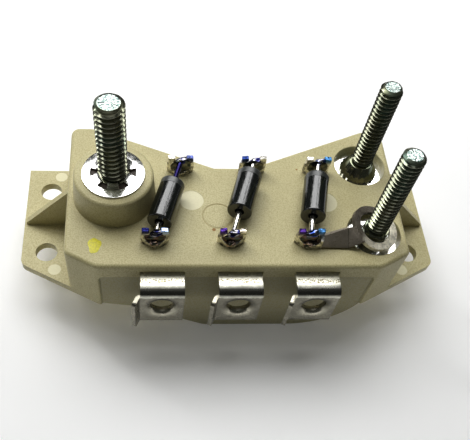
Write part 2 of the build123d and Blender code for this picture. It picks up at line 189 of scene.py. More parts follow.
# The front panel's greyer, darker colour is partly its own matte tone and partly painted shade.
panel = block(moulding, *PANEL_CORNERS)
colour = blend_colours(moulding, panel, colour, PANEL_TONE_AND_SHADE)
speck = ramp(moulding, grain, [(0.36, grey(0.3)), (0.56, grey(1.0))])
colour = blend_colours(moulding, speck, HOUSING_SPECK, colour)
marks = disc(moulding, FLANGE_MARK, FLANGE_MARK_RADIUS, mirrored=True)
for centre in DECK_MARKS:
    marks = arithmetic(moulding, "MAXIMUM", marks, disc(moulding, centre, DECK_MARK_RADIUS))
marks = arithmetic(moulding, "MULTIPLY", marks, MARK_COVER)
colour = blend_colours(moulding, marks, colour, HOUSING_MARK)
outside, inside = [disc(moulding, RING_MARK, radius) for radius in RING_MARK_RADII]
groove = arithmetic(moulding, "SUBTRACT", outside, inside)
groove = arithmetic(moulding, "MULTIPLY", groove, GROOVE_COVER)
colour = blend_colours(moulding, groove, colour, HOUSING_GROOVE)
# The last entry paints shade under the push nut; the others are real stains.
for centre, radius, stain_and_shade in STAINS_AND_SHADE:
    colour = blend_colours(moulding, disc(moulding, centre, radius), colour, stain_and_shade)
connect(moulding, Base_Color=colour)
satin = ramp(moulding, grain, [(0.35, grey(0.52)), (0.70, grey(0.38))])
connect(moulding, Roughness=blend_colours(moulding, panel, satin, grey(PANEL_ROUGHNESS)))
relief(moulding, grain, GRAIN_DEPTH)


def dress(node, material):
    """Gives a CAD node this material in place of its plain one."""
    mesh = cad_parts[node].data
    mesh.materials.clear()
    mesh.materials.append(material)


dress("housing", moulding)

# Studs. Cold-headed steel, moulded in by their heads, with a shoulder or collar and a rolled thread
# of 60 degrees. The dark bright plating is duller on the flanks and painted darker there as painted
# shade, painted lighter on the crests as a painted highlight, and each chamfered point ends in the
# rough bare face that the cutting die leaves.
STUD_TURN = 96
OUTPUT_STUD = (-27.3, -3.0)
REAR_STUD = (30.7, 6.4)
FRONT_STUD = (30.7, -13.3)
QUARTER_INCH_RADIUS = 3.175
QUARTER_INCH_PITCH = 1.27
NUMBER_TEN_RADIUS = 2.413
NUMBER_TEN_PITCH = 1.0583
THREAD_DEPTH = 0.6134
THREAD_ALONG = (0.0, 0.22, 0.30, 0.56, 0.64, 0.70, 0.94)
THREAD_INWARD = (1.0, 1.0, 0.86, 0.12, 0.0, 0.0, 0.86)
POINT_SLOPE = 1.25
RUN_OUT_SLOPE = 1.1
FACE_EDGE = 0.06
FACE_WAVE = 0.012
CREST_SHARE = 0.08
FOOT_HIGHLIGHT_SHARE = 0.35
PLATING_GREEN = (0.19, 0.26, 0.22, 1.0)
PLATING_OLIVE = (0.22, 0.24, 0.16, 1.0)
PLATING_STRAW = (0.29, 0.275, 0.20, 1.0)
# The crests' lighter colour is a painted highlight; FLANK_SHADE is painted shade on the flanks.
CREST_HIGHLIGHT_COLOUR = (0.28, 0.285, 0.22, 1.0)
FLANK_SHADE = 0.85
FLANK_ROUGHNESS = 0.42
CUT_DARK = (0.12, 0.17, 0.16, 1.0)
CUT_PALE = (0.46, 0.50, 0.47, 1.0)
WELD = 0.004


def quads(points, wrap_rows, wrap_columns):
    """The corner numbers of the quads between neighbouring points of a rows x columns grid."""
    rows, columns = points.shape[:2]
    number = np.arange(rows * columns).reshape(rows, columns)
    if wrap_rows:
        number = np.vstack([number, number[:1]])
    if wrap_columns:
        number = np.hstack([number, number[:, :1]])
    corners = [number[:-1, :-1], number[:-1, 1:], number[1:, 1:], number[1:, :-1]]
    return np.stack([corner.ravel() for corner in corners], axis=1)


def piece(name, grids, material, crease=40.0, replaces=(), layers=None):
    """One mesh from grids of (points, wrap_rows, wrap_columns) in millimetres, joined where they meet.

    Points that meet are welded, normals turned outwards and edges sharper than crease kept. layers
    gives named point values, one array for each grid.
    """
    points, faces, start = [], [], 0
    for grid, *wraps in grids:
        points.append(grid.reshape(-1, 3))
        faces.append(quads(grid, *wraps) + start)
        start += points[-1].shape[0]
    mesh = bpy.data.meshes.new(name)
    mesh.from_pydata(np.vstack(points) / 1000, [], np.vstack(faces).tolist())
    for layer, values in (layers or {}).items():
        values = np.concatenate([np.asarray(value, float).reshape(-1, 4) for value in values])
        mesh.attributes.new(layer, "FLOAT_COLOR", "POINT").data.foreach_set("color", values.ravel())
    form = bmesh.new()
    form.from_mesh(mesh)
    bmesh.ops.remove_doubles(form, verts=form.verts, dist=WELD / 1000)
    bmesh.ops.dissolve_degenerate(form, edges=form.edges, dist=1e-7)
    bmesh.ops.recalc_face_normals(form, faces=form.faces)
    form.to_mesh(mesh)
    form.free()
    mesh.shade_smooth()
    mesh.set_sharp_from_angle(angle=math.radians(crease))
    mesh.materials.append(material)
    made = bpy.data.objects.new(name, mesh)
    bpy.context.scene.collection.objects.link(made)
    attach(made, "root")
    if replaces:
        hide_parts(*replaces)
    return made


def lathe(profile, turn, flute=None):
    """Radius and height pairs turned about +Z. flute(angle, row) scales the radius of a row."""
    angle = np.linspace(0.0, 2 * np.pi, turn, endpoint=False)
    radius, height = np.array(profile, float).T
    radius = radius[:, None] * np.ones_like(angle)
    if flute:
        radius = radius * flute(angle[None, :], np.arange(len(profile))[:, None])
    height = height[:, None] * np.ones_like(angle)
    return np.stack([radius * np.cos(angle), radius * np.sin(angle), height], axis=-1)


def thread(major, pitch, low, high, point):
    """Grid of a rolled thread between two heights.

    A row is one corner of the 60-degree profile (root, flank, crest, flank) and climbs one pitch a
    turn; heights past the ends are held there, and a cone at each end caps the radius.
    """
    depth = THREAD_DEPTH * pitch
    turns = int(np.ceil((high - low) / pitch)) + 2
    along = (np.arange(turns)[:, None] - 1 + THREAD_ALONG).ravel()
    inward = np.tile(THREAD_INWARD, turns)
    angle = np.linspace(0.0, 2 * np.pi, STUD_TURN, endpoint=False)
    height = low + pitch * (along[:, None] + angle / (2 * np.pi))
    held = np.clip(height, low, high)
    fullness = major - depth * inward[:, None] * np.ones_like(angle)
    upper, lower = point + (high - held) * POINT_SLOPE, major - depth + (held - low) * RUN_OUT_SLOPE
    radius = np.minimum(fullness, np.minimum(upper, lower))
    return np.stack([radius * np.cos(angle), radius * np.sin(angle), held], axis=-1)


def close_helix(grid):
    """The last column joins the first one profile higher, so the seam gets its own strip."""
    corners = len(THREAD_ALONG)
    shifted = np.vstack([grid[corners:, :1], np.repeat(grid[-1:, :1], corners, axis=0)])
    return np.hstack([grid, shifted])


def stud(name, node, place, foot, major, pitch, low, top, point, flute=None):
    """A stud in place of a CAD node: the foot's turned profile, the thread and the cut face.

    bare marks the cut face. crest_highlight is 1 on the crests and the cut face, 0 on the flanks and
    between them on the foot: it paints a highlight on the crests and shade on the flanks.
    """
    face = lathe([
        (point, top - FACE_EDGE), (point * 0.95, top - 0.01), (point * 0.8, top),
        (point * 0.45, top - 0.05), (0.0, top - 0.02),
    ], STUD_TURN)
    angle = np.arctan2(face[1:-1, :, 1], face[1:-1, :, 0])
    face[1:-1, :, 2] -= FACE_WAVE * (1 + np.sin(5 * angle + 1.0) * np.cos(9 * angle))
    base = lathe(foot, STUD_TURN, flute)
    helix = close_helix(thread(major, pitch, low, top - FACE_EDGE, point))
    radius = np.hypot(helix[..., 0], helix[..., 1])[..., None]
    crest = np.clip((radius - major) / (CREST_SHARE * pitch) + 1.0, 0.0, 1.0) * np.ones(4)
    levels = ((helix, 0.0), (base, FOOT_HIGHLIGHT_SHARE), (face, 1.0))
    none, half, full = [np.full(grid.shape[:2] + (4,), level) for grid, level in levels]
    layers = {"bare": [0 * half, none, full], "crest_highlight": [half, crest, full]}
    shift = np.array([*place, 0.0])
    grids = [(base + shift, False, True), (helix + shift, False, False), (face + shift, False, True)]
    piece(name, grids, dark_plating, crease=28.0, replaces=(node,), layers=layers)


def attribute(material, name, output="Color"):
    """A named point value of the piece, as its Color, Fac or Alpha."""
    return wire(material, "ShaderNodeAttribute", {"attribute_name": name}).outputs[output]


dark_plating = shader("dark bright plating", Metallic=0.92)
mottle = noise(dark_plating, 900.0, detail=5.0)
drift = noise(dark_plating, 160.0)
pitting = noise(dark_plating, 2600.0, detail=4.0)
crest_highlight = attribute(dark_plating, "crest_highlight", "Fac")
plated = ramp(dark_plating, drift, [(0.30, PLATING_GREEN), (0.48, PLATING_OLIVE), (0.68, PLATING_STRAW)])
# Painted shade darkens the flanks, and the crests get a lighter colour as a painted highlight.
shade = ramp(dark_plating, crest_highlight, [(0.0, grey(FLANK_SHADE)), (FOOT_HIGHLIGHT_SHARE, grey(1.0))])
plated = blend_colours(dark_plating, 1.0, plated, shade, "MULTIPLY")
plated = blend_colours(dark_plating, crest_highlight, plated, CREST_HIGHLIGHT_COLOUR)
cut = ramp(dark_plating, pitting, [(0.42, CUT_DARK), (0.57, CUT_PALE)])
plated = blend_colours(dark_plating, attribute(dark_plating, "bare"), plated, cut)
connect(dark_plating, Base_Color=plated)
polish = ramp(dark_plating, mottle, [(0.3, grey(0.09)), (0.7, grey(0.20))])
flank = ramp(dark_plating, crest_highlight, [(0.0, grey(1.0)), (FOOT_HIGHLIGHT_SHARE, grey(0.0))])
connect(dark_plating, Roughness=blend_colours(dark_plating, flank, polish, grey(FLANK_ROUGHNESS)))
relief(dark_plating, mottle, 0.012)

stud(
    "output_stud_threaded", "output_stud", OUTPUT_STUD,
    [(0.0, 6.4), (5.1, 6.4), (5.4, 6.7), (5.4, 8.7), (5.1, 9.0), (3.4, 9.0), (3.4, 23.2), (2.396, 23.4)],
    QUARTER_INCH_RADIUS, QUARTER_INCH_PITCH, low=23.4, top=43.0, point=2.35,
)

SMALL_FOOT = [(0.0, 4.0), (4.0, 4.0), (4.2, 4.2), (4.2, 6.2), (4.0, 6.4), (NUMBER_TEN_RADIUS, 6.4)]
KNURL_TEETH = 20
KNURL_DEPTHS = (0.075, 0.075, 0.055, 0.02)
COLLAR_SIDES = 10
COLLAR_ROWS = 3
COLLAR_DEPTH = 0.012


def knurl(angle, row):
    """The cone collar's rim is cut into twenty teeth, which fade out up the cone."""
    step = row - len(SMALL_FOOT)
    last = len(KNURL_DEPTHS) - 1
    depth = np.where((step >= 0) & (step <= last), np.take(KNURL_DEPTHS, np.clip(step, 0, last)), 0.0)
    return 1.0 - depth * (0.5 + 0.5 * np.cos(KNURL_TEETH * angle)) ** 0.6


def flats(angle, row):
    """The smooth collar was pressed, which left it faintly ten-sided."""
    step = row - len(SMALL_FOOT)
    depth = np.where((step >= 0) & (step < COLLAR_ROWS), COLLAR_DEPTH, 0.0)
    return 1.0 - depth * (1 + np.cos(COLLAR_SIDES * angle))


stud(
    "rear_stud_threaded", "rear_stud", REAR_STUD,
    SMALL_FOOT + [
        (NUMBER_TEN_RADIUS, 13.8), (4.4, 14.0), (4.4, 14.8), (4.15, 15.1), (3.3, 16.6), (2.75, 17.5),
        (2.45, 17.62), (1.78, 17.6),
    ],
    NUMBER_TEN_RADIUS, NUMBER_TEN_PITCH, low=17.6, top=39.6, point=1.72, flute=knurl,
)
stud(
    "front_stud_threaded", "front_stud", FRONT_STUD,
    SMALL_FOOT + [(2.75, 14.0), (2.9, 14.2), (2.9, 17.6), (2.6, 18.0), (1.78, 18.0)],
    NUMBER_TEN_RADIUS, NUMBER_TEN_PITCH, low=18.0, top=40.8, point=1.72, flute=flats,
)

# Seat plates. Steel discs, stamped flat and plated with bright zinc, at the floors of the two round
# recesses. The ring terminals are clamped on them.
bright_zinc = shader("bright zinc", Base_Color=(0.86, 0.86, 0.84, 1.0), Metallic=1.0)
scuff = noise(bright_zinc, 700.0, detail=5.0)
connect(bright_zinc, Roughness=ramp(bright_zinc, scuff, [(0.35, grey(0.10)), (0.70, grey(0.26))]))
relief(bright_zinc, scuff, 0.01)
for plate in ("rear_seat_plate", "front_seat_plate"):
    dress(plate, bright_zinc)

# Push nut. A spring-steel disc under bright zinc, stamped and pressed down over the stud. Inside its
# flat rim six slots part six teeth, which are bent up and bite the thread.
NUT_BASE = 22.9
NUT_SHEET = 0.5
NUT_RIM = (4.95, 6.9)
NUT_TEETH = 6
NUT_TOOTH_ROOT = 5.2
NUT_TOOTH_TIP = 3.25
NUT_TOOTH_RISE = (0.55, 0.35)
NUT_TOOTH_TWIST = 0.45
NUT_SLOT_HALF = (1.25, 0.6)


def tooth(middle, rise, twist):
    """A tooth: a closed tapered sheet that rises with the square of the way in and twists at its tip."""
    way = np.linspace(0.0, 1.0, 11)[:, None]
    radius = NUT_TOOTH_ROOT - way * (NUT_TOOTH_ROOT - NUT_TOOTH_TIP)
    slot = NUT_SLOT_HALF[1] + (NUT_SLOT_HALF[0] - NUT_SLOT_HALF[1]) * (1 - way)
    half = np.pi / NUT_TEETH - slot / radius
    across = np.array([-1.0, -0.97, -0.5, 0.0, 0.5, 0.97, 1.0, 1.0, 0.97, 0.5, 0.0, -0.5, -0.97, -1.0])
    over = np.array([0.12, 0.0, 0.0, 0.0, 0.0, 0.0, 0.12, 0.88, 1.0, 1.0, 1.0, 1.0, 1.0, 0.88])
    angle = middle + across * half
    height = NUT_BASE + NUT_SHEET * (1 - over) + rise * way ** 2 + twist * across * way ** 1.5
    grid = np.stack([radius * np.cos(angle), radius * np.sin(angle), height + 0 * angle], axis=-1)
    ends = [np.repeat(row.mean(axis=0)[None, None], len(across), axis=1) for row in (grid[0], grid[-1])]
    return np.vstack([ends[0], grid, ends[1]])


top = NUT_BASE + NUT_SHEET
rim_profile = [
    (NUT_RIM[0], top), (NUT_RIM[0] + 0.08, top + 0.06), (6.68, top - 0.06), (6.82, top - 0.1),
    (NUT_RIM[1], top - 0.2), (NUT_RIM[1], NUT_BASE + 0.12), (6.8, NUT_BASE), (NUT_RIM[0], NUT_BASE),
]
nut_grids = [(lathe(rim_profile, STUD_TURN), True, True)]
for i in range(NUT_TEETH):
    middle = 2 * np.pi * (i + 0.5) / NUT_TEETH
    rise = NUT_TOOTH_RISE[0] + NUT_TOOTH_RISE[1] * math.sin(middle)
    nut_grids.append((tooth(middle, rise, NUT_TOOTH_TWIST * math.cos(middle)), False, True))
nut_grids = [(grid + np.array([*OUTPUT_STUD, 0.0]), *wraps) for grid, *wraps in nut_grids]
piece("push_nut_toothed", nut_grids, bright_zinc, crease=35.0, replaces=("push_nut",))

# Phase bars. Tinned sheet steel, 0.9 mm, one stamped and folded blank for each phase: the screw
# terminal in front with a drawn hole and a side tab, a run through the moulding, and the rear fork,
# which the welding crumpled, coloured and partly melted.
SHEET = 0.9
SHEET_ROUNDING = 0.16
PHASE_X = (-16.8, 0.2, 17.2)
TERMINAL_HALF = 4.8
TERMINAL_TOP = 12.75
TERMINAL_FACE = -27.05
TERMINAL_BEND = 1.25
PLATE_HIGH = 11.4
PLATE_LOW = 1.5
HOLE_RADIUS = 2.9
HOLE_HEIGHT = 7.3
RIM_BEND = 0.75
RIM_DEPTH = 1.25
TAB_ROOT = 0.45
TAB_REACH = 2.5
TAB_FLARE = math.radians(65)
TAB_BEND = 0.65
TAB_ROUNDING = 1.0
SIDE_STEPS = 24
FORK_HALF = 2.8
FORK_BOW = 1.7
FORK_TOP = DECK + 5.0
FORK_SPREAD = 17.3
BELLY = (2.1, 1.75)
BELLY_HEIGHT = 18.65
NECK_HALF = 1.25
PRONG_ROOT = 18.7
PRONG_BEND = 1.3
PRONG_SETBACK = 0.1
DENT = 0.06
SILVER = (0.86, 0.83, 0.76)
HEATED = (2.6, 4.3)
RUBBED_CORNERS = ((-22.0, -24.9, 12.9), (22.0, -23.7, 13.4))
RUBBED_BROWN = (0.13, 0.10, 0.03, 1.0)
CRUMPLE_DEPTH = 22.0


def solid_sheet(made):
    """Gives a mid-surface its thickness and softens its cut edges."""
    wall = made.modifiers.new("wall", "SOLIDIFY")
    wall.thickness = SHEET / 1000
    wall.offset = 0.0
    edge = made.modifiers.new("edge", "BEVEL")
    edge.width = SHEET_ROUNDING / 1000
    edge.segments = 3
    edge.limit_method = "ANGLE"
    edge.angle_limit = math.radians(50)


def terminal_fold(x):
    """The top plate and its bend: a straight run and a quarter arc, carried across the width."""
    turn = np.linspace(0.0, np.pi / 2, 10)
    flat = [-18.5, -22.5, -23.4, -24.3, -24.9, -25.4]
    bend_y = TERMINAL_FACE + TERMINAL_BEND * (1 - np.sin(turn))
    bend_z = TERMINAL_TOP - TERMINAL_BEND * (1 - np.cos(turn))
    y = np.concatenate([flat, bend_y, [TERMINAL_FACE]])[:, None]
    z = np.concatenate([[TERMINAL_TOP] * len(flat), bend_z, [PLATE_HIGH]])[:, None]
    across = np.linspace(-TERMINAL_HALF, TERMINAL_HALF, SIDE_STEPS + 1)
    return np.stack([x + across + 0 * y, y + 0 * across, z + 0 * across], axis=-1)


def terminal_plate(x):
    """The face with its drawn hole: rays to a rectangle from a circle, which a quarter arc turns back."""
    along = np.linspace(-1.0, 1.0, SIDE_STEPS + 1)[:-1]
    side = np.ones_like(along)
    u = np.concatenate([along, side, -along, -side])
    v = np.concatenate([side, -along, -side, along])
    middle, half = (PLATE_HIGH + PLATE_LOW) / 2, (PLATE_HIGH - PLATE_LOW) / 2
    outer = np.stack([u * TERMINAL_HALF, middle + v * half - HOLE_HEIGHT], axis=-1)
    ray = outer / np.linalg.norm(outer, axis=1)[:, None]
    turn = np.linspace(0.0, np.pi / 2, 8)
    radius = np.concatenate([[HOLE_RADIUS], HOLE_RADIUS + RIM_BEND * (1 - np.cos(turn))])
    depth = np.concatenate([[RIM_DEPTH], RIM_BEND * (1 - np.sin(turn))])
    rim = ray * radius[:, None, None]
    way = np.array([0.35, 0.7, 1.0])[:, None, None]
    flat = np.concatenate([rim, rim[-1] + (outer - rim[-1]) * way])
    depth = np.concatenate([depth, np.zeros(len(way))])[:, None] + 0 * flat[..., 0]
    return np.stack([x + flat[..., 0], TERMINAL_FACE + depth, HOLE_HEIGHT + flat[..., 1]], axis=-1)


def terminal_tab(x):
    """The side tab: the face's left edge carried round a bend and straight on, with rounded corners."""
    turn = np.linspace(0.0, TAB_FLARE, 7)
    tangent = TAB_BEND * math.tan(TAB_FLARE / 2)
    straight = np.linspace(0.25, 1.0, 8) * (TAB_REACH - tangent)
    left = TAB_ROOT - tangent + TAB_BEND * np.sin(turn)
    forward = TAB_BEND * (1 - np.cos(turn))
    left = np.concatenate([[0.0], left, left[-1] + straight * math.cos(TAB_FLARE)])[:, None]
    forward = np.concatenate([[0.0], forward, forward[-1] + straight * math.sin(TAB_FLARE)])[:, None]
    run = np.concatenate([np.zeros(len(left) - len(straight)), straight])
    past = np.clip(run - straight[-1] + TAB_ROUNDING, 0.0, None)
    drop = (TAB_ROUNDING - np.sqrt(TAB_ROUNDING ** 2 - past ** 2))[:, None]
    z = np.linspace(PLATE_LOW, PLATE_HIGH, SIDE_STEPS + 1)
    centred = (z - (PLATE_LOW + PLATE_HIGH) / 2) / (PLATE_HIGH - PLATE_LOW) * 2
    side = x - TERMINAL_HALF - left + 0 * z
    return np.stack([side, TERMINAL_FACE - forward + 0 * z, z - 0.9 * drop * centred], axis=-1)


def fork_sheet(x, y, low, flat_right=False):
    """A fork: a band from the edge of its opening to its outline, bowed in plan below the prongs.

    The opening is an ellipse, narrowed to a point below, that a neck joins to the top.
    """
    turn = np.radians(np.linspace(-90.0, 54.0, 15))
    pointed = np.where(turn < 0, np.cos(turn) ** 1.3, np.cos(turn))
    inner_x = np.concatenate([BELLY[0] * pointed, [NECK_HALF, NECK_HALF, NECK_HALF + 0.12]])
    neck_z = FORK_TOP - np.array([0.7, 0.3, 0.04])
    inner_z = np.concatenate([BELLY_HEIGHT + BELLY[1] * np.sin(turn), neck_z])
    outer_x = np.interp(inner_z, [inner_z[0], FORK_SPREAD], [0.0, FORK_HALF])
    outline_z = [low, 16.6, FORK_TOP - 1.2, FORK_TOP - 0.04]
    outer_z = np.interp(inner_z, [FORK_SPREAD, 17.9, FORK_TOP - 1.1, FORK_TOP], outline_z)
    inner_x, outer_x = [np.concatenate([-side[:0:-1], side]) for side in (inner_x, outer_x)]
    inner_z, outer_z = [np.concatenate([side[:0:-1], side]) for side in (inner_z, outer_z)]
    way = np.linspace(0.0, 1.0, 7)[:, None]
    across = inner_x + (outer_x - inner_x) * way
    z = inner_z + (outer_z - inner_z) * way
    bow = FORK_BOW * (np.abs(across / FORK_HALF) ** 1.5 - 0.5)
    if flat_right:
        bow = np.where(across > 0, -FORK_BOW / 2, bow)
    upright = np.clip((z - PRONG_ROOT) / PRONG_BEND, 0.0, 1.0)
    upright = upright ** 2 * (3 - 2 * upright)
    dent = DENT * np.sin(2.3 * across + 1.7 * z + x) * np.cos(1.9 * z - 1.1 * across)
    return np.stack([x + across, y + bow * (1 - upright) + PRONG_SETBACK * upright + dent, z], axis=-1)


def between(one, other, share):
    """The values that lie a share of the way from one to the other."""
    return np.array(one) * (1 - share) + np.array(other) * share


def with_alpha(colour, alpha=1.0):
    """Point colours with their fourth value."""
    return np.concatenate([colour, np.full_like(colour[..., :1], alpha)], axis=-1)


def tinted(grid, left, right):
    """Colour of each point: bare sheet low down, turning into the prong's temper colour at its top.

    The alpha says how smooth the sheet is. It is 0 here, because the welding crumpled the fork.
    """
    height = grid[..., 2] - DECK
    middle = grid[..., 0].mean()
    heat = np.clip((height - HEATED[0]) / (HEATED[1] - HEATED[0]), 0.0, 1.0)[..., None] ** 1.5
    prong = np.where((grid[..., 0] < middle)[..., None], np.array(left), np.array(right))
    return with_alpha(between(SILVER, prong, heat), 0.0)


def lump(centre, radii, rise, seed, rough):
    """A fused lump: an ellipsoid turned up by a rise to the right, with waves that differ by seed."""
    polar = np.linspace(0.0, np.pi, 25)[:, None]
    angle = np.linspace(0.0, 2 * np.pi, 36, endpoint=False)[None, :]
    wave = 1 + rough * (
        np.sin(3 * angle + seed) * np.sin(2 * polar) + 0.7 * np.cos(5 * polar + 2 * seed) * np.sin(polar)
        + 0.6 * np.sin(5 * angle - 3 * polar + 3 * seed) * np.sin(polar) ** 2
    )
    along = radii[0] * np.cos(polar) * wave + 0 * angle
    deep = radii[1] * np.sin(polar) * np.sin(angle) * wave
    over = radii[2] * np.sin(polar) * np.cos(angle) * wave
    x = along * math.cos(rise) - over * math.sin(rise)
    z = along * math.sin(rise) + over * math.cos(rise)
    return centre + np.stack([x, deep, z], axis=-1)


def melt_and_shade_sheet(x, y, seed, high=0.0):
    """Dark sheet in a fork's opening behind the wire: melt at the rear forks, painted shade at the front.
    """
    centre = np.array([x, y - FORK_BOW / 2 + 0.7 - 0.6 * high, BELLY_HEIGHT - 0.45 + high / 2])
    return lump(centre, (2.1 + 0.4 * high, 0.5, 1.5 + high), 0.12, seed, 0.10)


def mottled(grid, colours, seed):
    """Colours of a lump that change from one patch to the next with waves over its surface."""
    x, y, z = np.moveaxis(grid, -1, 0)
    wave = np.sin(3.1 * x + 2.2 * z + seed) + np.sin(4.3 * z - 2.7 * x + 1.9 * y + 2 * seed)
    share = np.clip(wave * 0.6 + 0.5, 0.0, 1.0)[..., None]
    return with_alpha(between(*colours, share))


tinned = shader("tinned sheet")
wear = noise(tinned, 500.0, detail=6.0, roughness=0.65)
fine = noise(tinned, 4500.0, detail=4.0)
crumple = noise(tinned, 1000.0, detail=2.5)
crumpled = arithmetic(tinned, "SUBTRACT", 1.0, attribute(tinned, "tint", "Alpha"))
shade = ramp(tinned, wear, [(0.32, grey(0.74)), (0.60, grey(1.0))])
blotch = ramp(tinned, crumple, [(0.37, grey(0.34)), (0.52, grey(1.0))])
shade = blend_colours(tinned, crumpled, shade, blotch)
colour = blend_colours(tinned, 1.0, attribute(tinned, "tint"), shade, "MULTIPLY")
scratch = ramp(tinned, fine, [(0.43, grey(1.0)), (0.50, grey(0.0))])
scratch = arithmetic(tinned, "MULTIPLY", block(tinned, *RUBBED_CORNERS), scratch)
connect(tinned, Base_Color=blend_colours(tinned, scratch, colour, RUBBED_BROWN))
connect(tinned, Roughness=ramp(tinned, wear, [(0.30, grey(0.38)), (0.70, grey(0.22))]))
connect(tinned, Metallic=arithmetic(tinned, "SUBTRACT", 1.0, attribute(tinned, "dull", "Fac")))
folds = arithmetic(tinned, "MULTIPLY", crumpled, crumple)
folds = arithmetic(tinned, "MULTIPLY", folds, CRUMPLE_DEPTH)
relief(tinned, arithmetic(tinned, "ADD", fine, folds), 0.014)

melted = shader("melted metal", Metallic=1.0)
flow = noise(melted, 1500.0, detail=4.0)
connect(melted, Base_Color=attribute(melted, "tint"))
connect(melted, Roughness=ramp(melted, flow, [(0.3, grey(0.10)), (0.7, grey(0.26))]))
relief(melted, flow, 0.05)

WHITE_HOT = (0.88, 0.86, 0.80)
BLUE = (0.045, 0.085, 0.30)
NAVY = (0.022, 0.025, 0.13)
INDIGO = (0.024, 0.019, 0.08)
PALE_BLUE = (0.50, 0.63, 0.92)
VIOLET = (0.075, 0.036, 0.20)
CREAM = (0.82, 0.76, 0.62)
CYAN = (0.07, 0.19, 0.38)
STEEL_BLUE = (0.11, 0.135, 0.31)
DARK_CHROME = (0.07, 0.08, 0.065)
OLIVE_CHROME = (0.19, 0.18, 0.14)
PINK_METAL = (0.82, 0.62, 0.56)
TOP_TIN = (0.92, 0.91, 0.79)
# The terminal face and tab are painted a darker grey than the top, as painted shade.
SHADED_FACE_GREY = (0.345, 0.33, 0.27)
OPENING_SHADE_BROWN = (0.14, 0.095, 0.075)
RIM_FADE = 0.6
RIM_LIGHT_CONTRAST = 0.65
BEND_PLACES = (0.0, 0.05, 0.15, 1.2, 1.65, 2.1)
BEND_LIGHT_TONES = (0.85, 0.60, 0.11, 0.15, 0.45, 1.0)
TOP_DULL_Y = (-24.3, -23.0)
TOP_DULL = (0.25, 0.6)
REAR_FORKS = ((-12.3, WHITE_HOT, STEEL_BLUE), (4.45, BLUE, WHITE_HOT), (19.5, WHITE_HOT, CYAN))
REAR_FORK_Y = 3.8


def shaded(grid, colour):
    """One colour for every point of a grid."""
    return np.tile([*colour, 1.0], (grid[..., 0].size, 1))


def rim_light_and_shade(grid, x):
    """Face colour: shaded grey, a painted highlight on the rim below the hole and painted shade above."""
    away = np.hypot(grid[..., 0] - x, grid[..., 2] - HOLE_HEIGHT)
    rim = np.clip((HOLE_RADIUS + RIM_BEND + RIM_FADE - away) / RIM_FADE, 0.0, 1.0)
    gain = 1 - RIM_LIGHT_CONTRAST * rim * (grid[..., 2] - HOLE_HEIGHT) / away
    return with_alpha(np.array(SHADED_FACE_GREY) * gain[..., None])


def bend_light_and_shade(grid):
    """Colour of the fold: bright on top, painted shade round the bend, a painted highlight at its foot."""
    tarnish = np.interp(grid[..., 1] - TERMINAL_FACE, BEND_PLACES, BEND_LIGHT_TONES)
    return with_alpha(np.array(TOP_TIN) * tarnish[..., None])


for number, (x, (fork_x, left, right)) in enumerate(zip(PHASE_X, REAR_FORKS), start=1):
    fold, plate, tab = terminal_fold(x), terminal_plate(x), terminal_tab(x)
    prongs = fork_sheet(fork_x, REAR_FORK_Y, TERMINAL_TOP)
    tints = [bend_light_and_shade(fold), rim_light_and_shade(plate, x), shaded(tab, SHADED_FACE_GREY), tinted(prongs, left, right)]
    dulled = [np.interp(fold[..., 1:2], TOP_DULL_Y, TOP_DULL) * np.ones(4)]
    dulled += [shaded(grid, (0.0, 0.0, 0.0)) for grid in (plate, tab, prongs)]
    solid_sheet(piece(
        f"phase_bar_{number}_folded",
        [(fold, False, False), (plate, False, True), (tab, False, False), (prongs, False, False)],
        tinned, replaces=(f"phase_bar_{number}",), layers={"tint": tints, "dull": dulled},
    ))
    melt_and_shade_pool = melt_and_shade_sheet(fork_x, REAR_FORK_Y, 1.3 * number, high=0.5)
    piece(
        f"phase_bar_{number}_melt", [(melt_and_shade_pool, False, True)], melted, crease=60.0,
        layers={"tint": [mottled(melt_and_shade_pool, (DARK_CHROME, OLIVE_CHROME), number)]},
    )

# Output bar. The second kind of tinned blank: a strip across the moulding from the large stud, with
# the front forks of the first two diodes standing up through the deck. At the bottom of each opening
# hangs a small bead of melted sheet, and a dark sheet across the opening is painted shade.
FRONT_FORK_Y = -16.45
BAR_MIDDLE = 9.45
STRIP_Y = (-17.95, -14.95)
RISER_X = (-28.8, -25.8)
FRONT_FORKS = ((-18.4, NAVY, PALE_BLUE), (-1.8, VIOLET, CREAM))


def clinker(x, y, seed):
    """The small crumpled bead that ran down to the bottom of a front fork's opening."""
    centre = np.array([x - 0.3, y - FORK_BOW / 2 - 0.05, BELLY_HEIGHT - 1.5])
    return lump(centre, (0.95, 0.5, 0.7), 0.5, seed, 0.22)


strip_x = np.linspace(RISER_X[0], 0.0, 3)
riser_y = [STRIP_Y[1], OUTPUT_STUD[1]]
strip = np.stack(np.meshgrid(strip_x, STRIP_Y, [BAR_MIDDLE]), axis=-1).reshape(2, 3, 3)
riser = np.stack(np.meshgrid(RISER_X, riser_y, [BAR_MIDDLE]), axis=-1).reshape(2, 2, 3)
bar_grids = [(strip, False, False), (riser, False, False)]
bar_tints = [shaded(strip, SILVER), shaded(riser, SILVER)]
for fork_x, left, right in FRONT_FORKS:
    fork = fork_sheet(fork_x, FRONT_FORK_Y, BAR_MIDDLE)
    bar_grids.append((fork, False, False))
    bar_tints.append(tinted(fork, left, right))
solid_sheet(piece(
    "output_bar_forked", bar_grids, tinned, replaces=("output_bar",),
    layers={"tint": bar_tints},
))
shade_pools = [melt_and_shade_sheet(fork_x, FRONT_FORK_Y, 2.0 + fork_x) for fork_x, *_ in FRONT_FORKS]
beads = [clinker(fork_x, FRONT_FORK_Y, 1.0 + fork_x) for fork_x, *_ in FRONT_FORKS]
shade_and_melt_tints = [mottled(melt_and_shade_pool, (OPENING_SHADE_BROWN, DARK_CHROME), 1.0) for melt_and_shade_pool in shade_pools]
shade_and_melt_tints += [mottled(bead, (PINK_METAL, DARK_CHROME), 2.0) for bead in beads]
